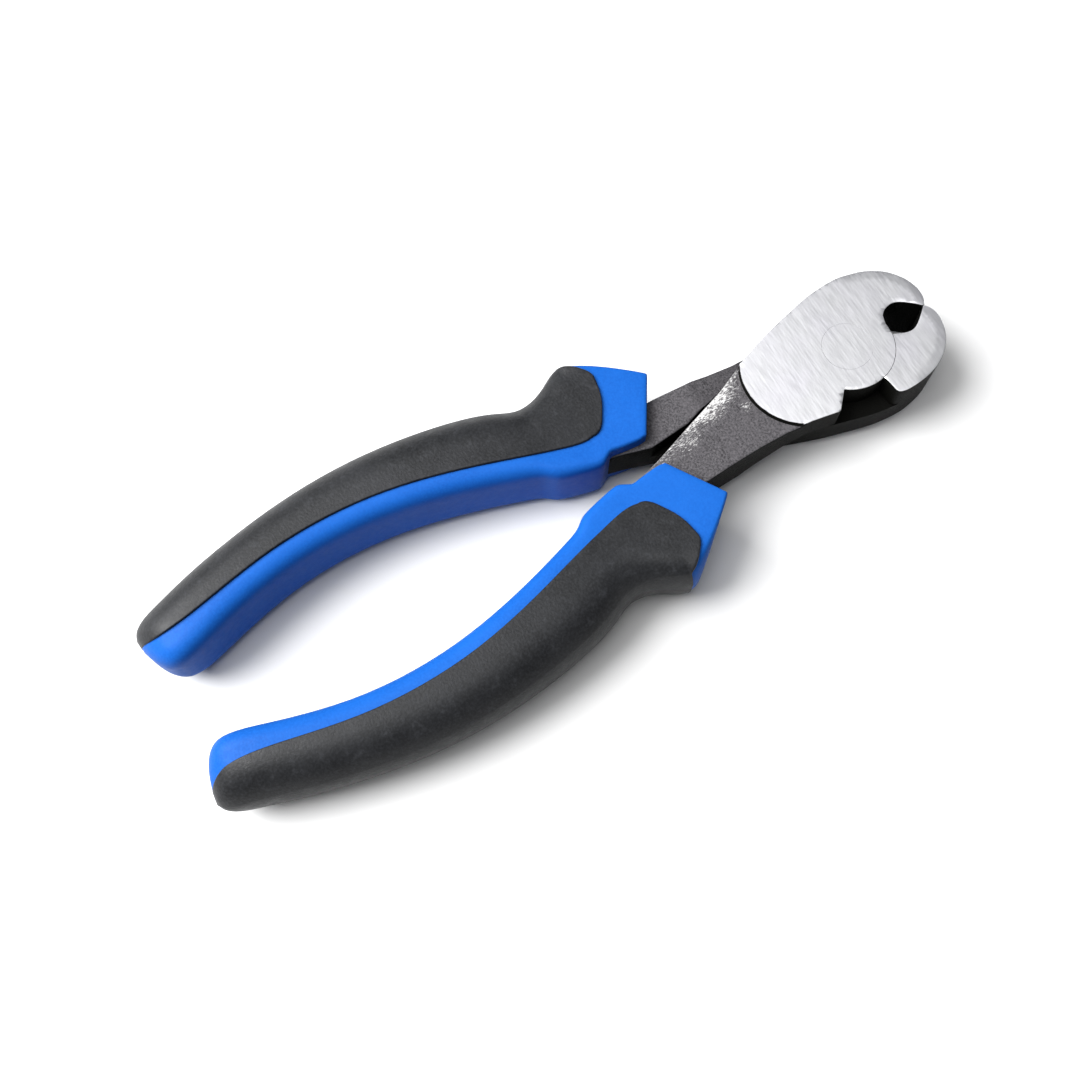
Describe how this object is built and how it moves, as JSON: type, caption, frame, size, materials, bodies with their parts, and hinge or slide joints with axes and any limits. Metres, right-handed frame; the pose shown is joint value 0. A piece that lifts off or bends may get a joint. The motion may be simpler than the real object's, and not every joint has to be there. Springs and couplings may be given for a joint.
{
  "type": "end-cutting nippers",
  "caption": "Lap-jointed end-cutting nippers with ground jaws, a flush rivet and bowed two-material grips with finger guards, for nipping glass and mosaic tile.",
  "frame": {"origin": "on the rivet's axis, at the ground underside of the head", "axes": "+Y from the handles towards the jaws, +Z along the rivet out of the front face, +X towards the front lever's handle"},
  "size_m": [0.0578, 0.1649, 0.0174],
  "materials": {
    "forged_steel": "ground and brushed head, black-oxide shank",
    "rivet_steel": "ground flush with the head",
    "core_plastic": "fine-textured satin moulding",
    "cover_rubber": "soft matt overmould with fine grain"
  },
  "bodies": {
    "back_half": {"back_lever": "forged_steel", "rivet": "rivet_steel", "back_grip_core": "core_plastic", "back_grip_cover": "cover_rubber"},
    "front_half": {"front_lever": "forged_steel", "front_grip_core": "core_plastic", "front_grip_cover": "cover_rubber"}
  },
  "joints": [
    {"name": "jaw_pivot", "type": "hinge", "parent": "back_half", "child": "front_half", "pos_m": [0, 0, 0.0059], "axis": [0, 0, 1], "range_deg": [0, 50]}
  ]
}
